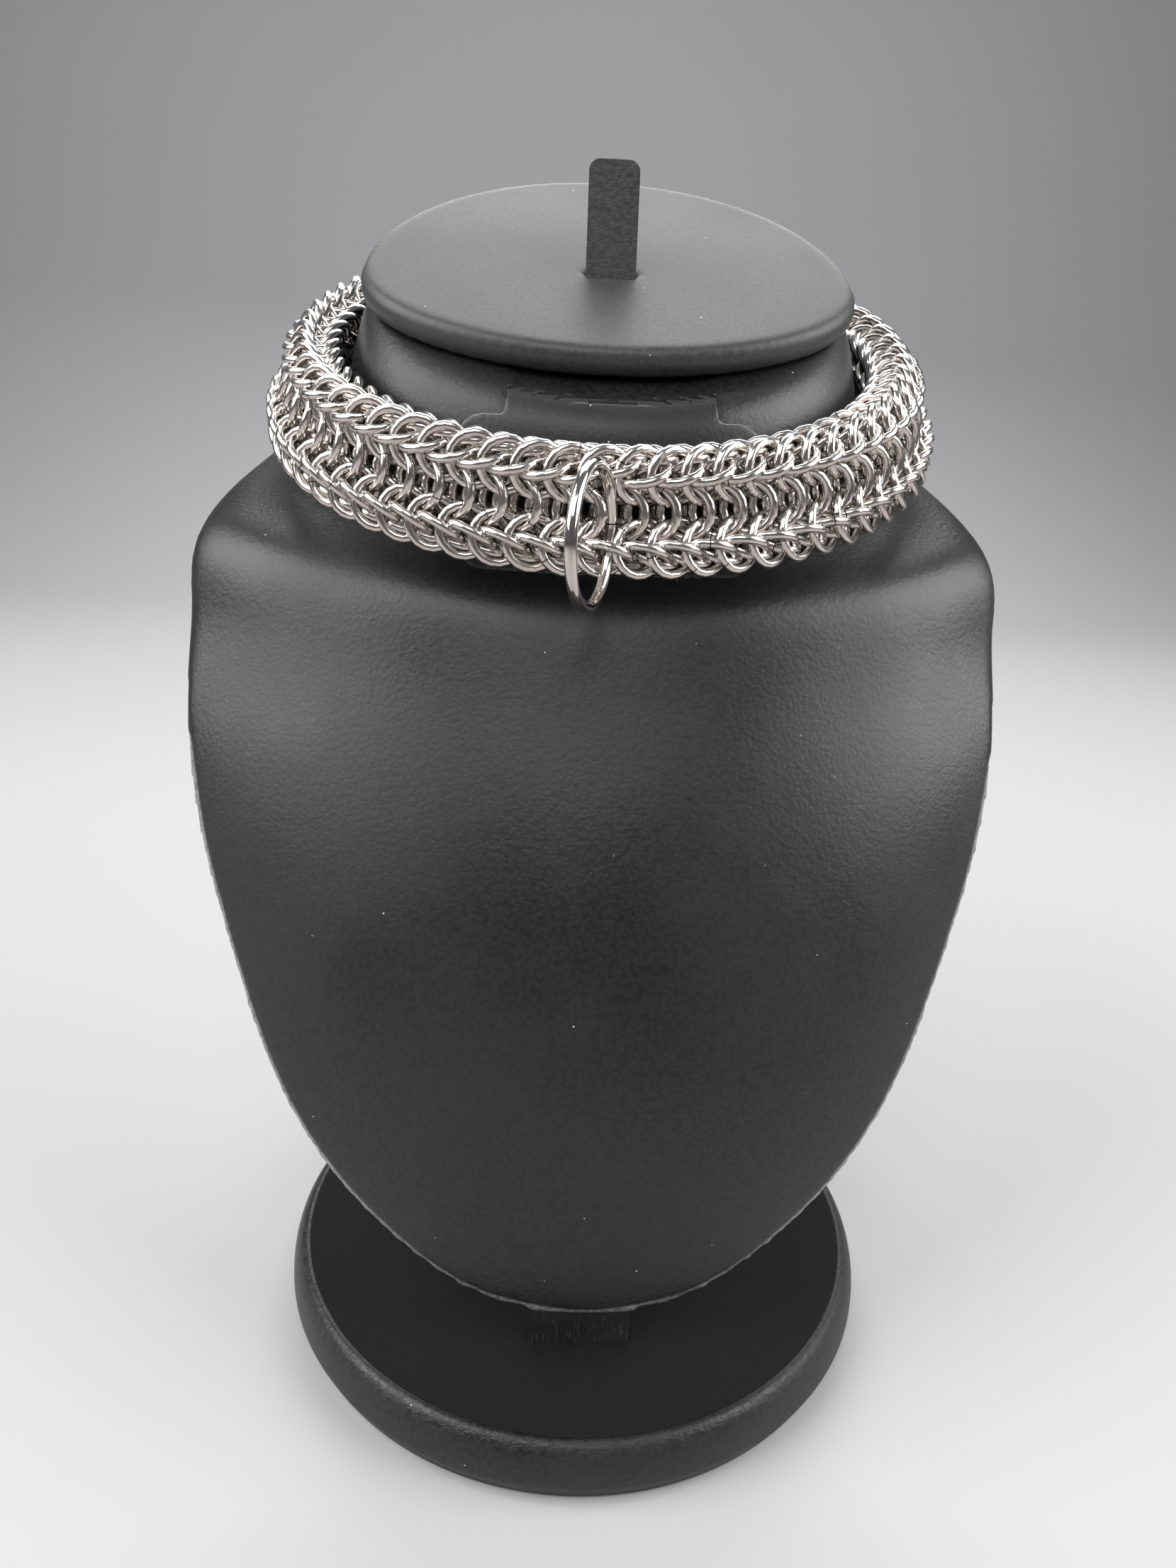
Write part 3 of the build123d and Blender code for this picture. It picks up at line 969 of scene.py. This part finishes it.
@dataclass
class RoundBase:
    """The leather-covered round base with its recessed velvet top."""

    radius_mm: float = 76.0
    height_mm: float = 14.6
    foot_inset_mm: float = 1.4
    bulge_mm: float = 4.6
    velvet_radius_mm: float = 72.0
    velvet_mm: float = 1.4
    rounding_mm: float = 1.6
    lip_mm: tuple[tuple[float, float], ...] = ((0.6, 0.12), (0.9, 0.6))
    bed_inset_mm: float = 1.2
    pile_gap_mm: float = 0.4
    pile_lift_mm: float = 0.05
    pile_roll_mm: float = 0.5
    steps: int = 192

    def side(self) -> np.ndarray:
        """Profile of the leather: flat below, a rounded foot, a bulging wall and a rolled lip.

        The wall is the quarter ellipse from the bulge up to the lip: r = rv + (R - rv) cos a,
        z = zb + (h - zb) sin a. The foot is a quarter circle of the rounding's radius.

        Returns:
            Radii and heights, n by 2, in millimetres.
        """
        foot, lip = self.radius_mm - self.foot_inset_mm, self.velvet_radius_mm
        flat = np.stack([np.linspace(POLE_MM, foot - self.rounding_mm, 12), np.zeros(12)], 1)
        a = np.linspace(-np.pi / 2.0, 0.0, 6)[1:]
        heel = self.rounding_mm * np.stack([np.cos(a) - 1.0, np.sin(a) + 1.0], 1) + [foot, 0.0]
        b = np.linspace(0.0, np.pi / 2.0, 18)
        rise = self.bulge_mm + (self.height_mm - self.bulge_mm) * np.sin(b)
        wall = np.stack([lip + (self.radius_mm - lip) * np.cos(b), rise], 1)
        tuck = np.array([lip, self.height_mm]) - np.array(self.lip_mm)
        sunk = np.linspace(lip - self.bed_inset_mm, POLE_MM, 6)
        bed = np.stack([sunk, np.full_like(sunk, self.height_mm - self.velvet_mm)], 1)
        return np.concatenate([flat, heel, wall, tuck, bed])

    def pile(self) -> np.ndarray:
        """Profile of the velvet disc: a flat top that rolls down at its rim by a quarter circle.

        Returns:
            Radii and heights, n by 2, in millimetres.
        """
        edge, roll_mm = self.velvet_radius_mm - self.pile_gap_mm, self.pile_roll_mm
        low = self.height_mm - self.velvet_mm + self.pile_lift_mm
        under = np.array([[POLE_MM, low], [edge, low]])
        a = np.linspace(0.0, np.pi / 2.0, 5)
        roll = roll_mm * np.stack([np.cos(a) - 1.0, np.sin(a) - 1.0], 1) + [edge, self.height_mm]
        flat = np.linspace(edge - 3.0 * roll_mm, POLE_MM, 24)
        top = np.stack([flat, np.full_like(flat, self.height_mm)], 1)
        return np.concatenate([under, roll, top])

    def build(self) -> list[bpy.types.Object]:
        """Build the leather block and the velvet disc.

        Returns:
            Both pieces.
        """
        block = turned("base_block", self.side(), self.steps)
        disc = turned("velvet_disc", self.pile(), self.steps)
        leather = Leatherette("leather_base", creases=0.8, relief_mm=0.13)
        dress(block, leather.build(), Body.STAND, "base")
        dress(disc, Velvet("velvet_pile").build(), Body.STAND, "base_velvet")
        return [block, disc]


@dataclass
class Bust:
    """The leather-covered bust with its plate, tongue and flap; its chest has a pale rim.

    The outline gives the height above the tip and the half width of the chest's lower edge,
    as shares of the edge's height and of its greatest half width.
    """

    tip_mm: float = 27.8
    height_mm: float = 156.4
    half_width_mm: float = 99.6
    edge_points: int = 260
    edge_passes: int = 30
    edge_reach_mm: float = 2.0
    edge_low_percent: float = 10.0
    flap_cut_top_mm: float = 224.6
    flap_half_mm: float = 23.3
    tuck_start_mm: float = 218.0
    tuck_run_mm: float = 6.0
    tuck_fade_mm: float = 3.0
    tuck_mm: float = 1.3
    neck_middle_mm: float = 25.0
    tongue_cut_top_mm: float = 400.0
    fold_tilt: float = math.radians(17.0)
    fold_y_mm: float = 57.5
    fold_z_mm: float = 203.0
    fold_half_mm: float = 13.0
    fold_rounds: int = 4
    fold_passes: int = 10
    outline: tuple[tuple[float, float], ...] = (
        (0.000, 0.000),
        (0.022, 0.245),
        (0.062, 0.372),
        (0.142, 0.538),
        (0.222, 0.650),
        (0.308, 0.735),
        (0.436, 0.823),
        (0.600, 0.922),
        (0.750, 0.978),
    )

    def edge_line(self) -> np.ndarray:
        """Front view of the chest's lower edge, left to right, as x and z in millimetres.

        The outline's shares are joined by straight runs against the length along them, then
        evened by a moving mean.

        Returns:
            The points, n by 2.
        """
        shares = np.array(self.outline)[:, ::-1]
        half = shares * [self.half_width_mm, self.height_mm] + [0.0, self.tip_mm]
        both = np.concatenate([half[:0:-1] * [-1.0, 1.0], half])
        run = np.concatenate([[0.0], np.cumsum(np.hypot(*np.diff(both, axis=0).T))])
        s = np.linspace(0.0, run[-1], self.edge_points)
        line = np.stack([np.interp(s, run, both[:, 0]), np.interp(s, run, both[:, 1])], 1)
        for _ in range(self.edge_passes):
            line[1:-1] = (line[:-2] + 2.0 * line[1:-1] + line[2:]) / 4.0
        return line

    def round_shoulders(self, skin: bpy.types.Object) -> None:
        """Soften the fold where the shoulders turn into the chest, which lies along a leaning plane.

        Points nearer to that plane than the fold's half width are evened a few times, then
        those in ever narrower strips, so that the smoothing fades out to both sides.

        Args:
            skin: the bust's skin.
        """
        shape = bmesh.new()
        shape.from_mesh(skin.data)
        up = Vector((0.0, -math.sin(self.fold_tilt), math.cos(self.fold_tilt)))
        level = Vector((0.0, self.fold_y_mm, self.fold_z_mm)) * MM
        axes = {"use_axis_x": True, "use_axis_y": True, "use_axis_z": True}
        for reach in np.linspace(1.0, 0.4, self.fold_rounds):
            half = reach * self.fold_half_mm * MM
            near = [v for v in shape.verts if abs((v.co - level).dot(up)) < half]
            for _ in range(self.fold_passes):
                bmesh.ops.smooth_vert(shape, verts=near, factor=0.5, **axes)
        shape.to_mesh(skin.data)
        shape.free()
        skin.data.shade_smooth()

    def tuck_under_flap(self, skin: bpy.types.Object) -> None:
        """Press the neck in behind the flap's thin top, so that the flap lies clear of it.

        The depth is the whole tuck times the share of the run that the point lies above the
        start, times the share of the fade that it lies inside the flap's side.

        Args:
            skin: the bust's skin.
        """
        points = read_points(skin.data)
        x, y, z = (points / MM).T
        rise = np.clip((z - self.tuck_start_mm) / self.tuck_run_mm, 0.0, 1.0)
        inside = np.clip((self.flap_half_mm - np.abs(x)) / self.tuck_fade_mm, 0.0, 1.0)
        depth = self.tuck_mm * rise * inside * (y < self.neck_middle_mm)
        points[:, 1] += depth * MM
        skin.data.vertices.foreach_set("co", points.ravel())
        skin.data.update()

    def mark_edge(self, skin: bpy.types.Object) -> None:
        """Store on each of the skin's points how far it lies from the chest's lower edge.

        The distance is seen from the front, to the nearest straight run of the edge line:
        p - a less its share along b - a, which is kept between 0 and 1. A low share of the
        distances near the edge is taken off, so that the line stays at the skin's own rim.

        Args:
            skin: the bust's skin.
        """
        seen = read_points(skin.data)[:, [0, 2]].astype(float) / MM
        line = self.edge_line()
        start, run = line[:-1], np.diff(line, axis=0)
        far = np.full(len(seen), np.inf)
        for a, step in zip(start, run):
            share = np.clip((seen - a) @ step / (step @ step), 0.0, 1.0)
            far = np.minimum(far, np.linalg.norm(seen - a - share[:, None] * step, axis=1))
        far -= np.percentile(far[far < self.edge_reach_mm], self.edge_low_percent)
        marks = skin.data.attributes.new(EDGE, "FLOAT", "POINT")
        marks.data.foreach_set("value", far.astype(np.float32))

    def build(self) -> list[bpy.types.Object]:
        """Build the skins of the bust, plate and flap, and dress the tongue.

        Returns:
            The new pieces.
        """
        skin = smooth_skin("bust", "bust_skin", voxel_mm=1.5, passes=8)
        self.round_shoulders(skin)
        self.tuck_under_flap(skin)
        self.mark_edge(skin)
        dress(skin, Leatherette("leather_bust", rim=True).build(), Body.STAND, "bust")
        plate = smooth_skin("neck_plate", "plate_skin", voxel_mm=1.0, passes=6)
        # The plate is the same black leatherette as the bust; its paler, greenish crown and valley are
        # painted light, standing for the sheen of the light from above on its top.
        pale = Leatherette(
            "leather_plate_painted_sheen",
            crown=(0.034, 0.037, 0.035),
            valley=(0.022, 0.024, 0.023),
            roughness=(0.44, 0.52),
            cells=1100.0,
            creases=0.12,
            relief_mm=0.04,
        )
        dress(plate, pale.build(), Body.STAND, "neck_plate")
        flap = smooth_skin("front_flap", "flap_skin", voxel_mm=0.45, passes=3)
        thin = Leatherette(
            "leather_flap",
            crown=(0.007, 0.007, 0.008),
            roughness=(0.40, 0.5),
            creases=0.2,
            cut_below_mm=self.flap_cut_top_mm,
        )
        dress(flap, thin.build(), Body.STAND, "front_flap")
        strap = Leatherette(
            "leather_tongue",
            crown=(0.020, 0.021, 0.022),
            cells=820.0,
            creases=0.8,
            cut_below_mm=self.tongue_cut_top_mm,
        )
        refinish("tongue", strap.build())
        return [skin, plate, flap]


# Studio


@dataclass(frozen=True)
class Photographer:
    """Camera with the photograph's view: place, turn and focal length."""

    place: tuple[float, float, float] = (-0.0132, -0.2437, 0.2275)
    yaw: float = math.radians(2.67)
    pitch: float = math.radians(19.96)
    roll: float = math.radians(2.6)
    focal_px: float = 1534.0
    height_px: int = 2212
    sensor_mm: float = 36.0

    def build(self) -> bpy.types.Object:
        """Set up the camera: it looks along +Y, turned by yaw, down by pitch and rolled.

        Returns:
            The camera.
        """
        flat = Vector((math.sin(self.yaw), math.cos(self.yaw), 0.0))
        ahead = math.cos(self.pitch) * flat - math.sin(self.pitch) * Vector((0.0, 0.0, 1.0))
        level = Vector((math.cos(self.yaw), -math.sin(self.yaw), 0.0))
        rise = level.cross(ahead)
        right = math.cos(self.roll) * level + math.sin(self.roll) * rise
        up = math.cos(self.roll) * rise - math.sin(self.roll) * level
        data = bpy.data.cameras.new("camera")
        data.sensor_fit, data.sensor_height = "VERTICAL", self.sensor_mm
        data.lens = self.sensor_mm * self.focal_px / self.height_px
        data.clip_start, data.clip_end = 0.01, 20.0
        camera = bpy.data.objects.new("camera", data)
        bpy.context.scene.collection.objects.link(camera)
        turn = Matrix((right, up, -ahead)).transposed().to_4x4()
        camera.matrix_world = Matrix.Translation(self.place) @ turn
        bpy.context.scene.camera = camera
        return camera


@dataclass(frozen=True)
class Softbox:
    """One square soft light, aimed at a point."""

    name: str
    place: tuple[float, float, float]
    size: float
    watts: float
    aim: tuple[float, float, float] = (0.0, 0.02, 0.19)

    def build(self) -> None:
        """Hang the light."""
        data = bpy.data.lights.new(self.name, "AREA")
        data.size, data.energy = self.size, self.watts
        lamp = bpy.data.objects.new(self.name, data)
        bpy.context.scene.collection.objects.link(lamp)
        lamp.location = self.place
        lamp.rotation_euler = (Vector(self.aim) - Vector(self.place)).to_track_quat("-Z", "Y").to_euler()


@dataclass(frozen=True)
class Studio:
    """Plain pale floor that rises to a plain wall behind, soft lights and a dim surround."""

    floor_colour: tuple[float, float, float] = (0.42, 0.42, 0.43)
    cloud_gain: float = 1.05
    lines_across: int = 3
    half_width: float = 3.5
    front_y: float = -2.5
    wall_y: float = 1.5
    wall_top: float = 3.5
    bend: float = 0.6
    surround_colour: tuple[float, float, float] = (0.18, 0.18, 0.19)
    surround_strength: float = 0.8
    lights: tuple[Softbox, ...] = (
        Softbox("left", place=(-0.80, -0.20, 0.80), size=0.90, watts=15.0),
        Softbox("right", place=(0.85, -0.15, 0.70), size=0.80, watts=12.0),
        Softbox("behind", place=(0.05, 0.75, 0.95), size=1.00, watts=11.0),
        Softbox("front", place=(-0.10, -0.80, 1.10), size=0.60, watts=5.0),
    )

    def sweep(self) -> bpy.types.Object:
        """Build the floor and wall as one sheet: line, quarter circle and line, carried along X.

        Returns:
            The sheet.
        """
        a = np.linspace(-np.pi / 2.0, 0.0, 16)
        bend = np.stack([self.wall_y - self.bend * (1.0 - np.cos(a)), self.bend * (1.0 + np.sin(a))], 1)
        line = np.concatenate([[[self.front_y, 0.0]], bend, [[self.wall_y, self.wall_top]]])
        x = np.linspace(-self.half_width, self.half_width, self.lines_across)
        y, z = np.tile(line, (len(x), 1)).T
        points = np.stack([np.repeat(x, len(line)), y, z], -1)
        grid = np.arange(len(points)).reshape(len(x), len(line))
        faces = np.stack([grid[:-1, :-1], grid[1:, :-1], grid[1:, 1:], grid[:-1, 1:]], -1).reshape(-1, 4)
        sheet = put_mesh("floor", points, faces)
        material, tree, shader = start_material("pale_floor")
        place = tree.add("ShaderNodeTexCoord").outputs["Object"]
        cloud = tree.add("ShaderNodeTexNoise", {"Vector": place, "Scale": 3.0, "Detail": 2.0})
        pale = (*self.floor_colour, 1.0)
        paler = (*(self.cloud_gain * c for c in self.floor_colour), 1.0)
        tree.tree.links.new(tree.mix(cloud.outputs[0], pale, paler), shader.inputs["Base Color"])
        shader.inputs["Roughness"].default_value = 0.7
        sheet.data.materials.append(material)
        return sheet

    def build(self) -> None:
        """Lay the floor, hang the lights and set the surround."""
        self.sweep()
        for light in self.lights:
            light.build()
        world = bpy.data.worlds.new("surround")
        world.use_nodes = True
        background = world.node_tree.nodes["Background"].inputs
        background["Color"].default_value = (*self.surround_colour, 1.0)
        background["Strength"].default_value = self.surround_strength
        bpy.context.scene.world = world
        bpy.context.scene.view_settings.view_transform = "Standard"


def dress_plain_nodes() -> None:
    """Give the bar and the rear link, which keep their CAD shape, their finishes."""
    refinish("support_bar", BlackBoard("board_bar").build())
    refinish("rear_link", SteelWire("steel_link", by_object=True).build())


def report(piece: bpy.types.Object) -> None:
    """Log a piece's name and its number of faces."""
    log.info("%s: %d faces", piece.name, len(piece.data.polygons))


def main() -> None:
    """Build the camera, the pieces in order and the studio."""
    logging.basicConfig(level=logging.INFO, format="%(name)s %(message)s")
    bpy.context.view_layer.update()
    Photographer().build()
    for piece in RoundBase().build() + Bust().build():
        report(piece)
    large = FrontRing()
    report(Weave(Loop()).build(large.line()))
    report(large.build())
    dress_plain_nodes()
    Studio().build()
    bpy.context.view_layer.update()


if __name__ == "__main__":
    main()
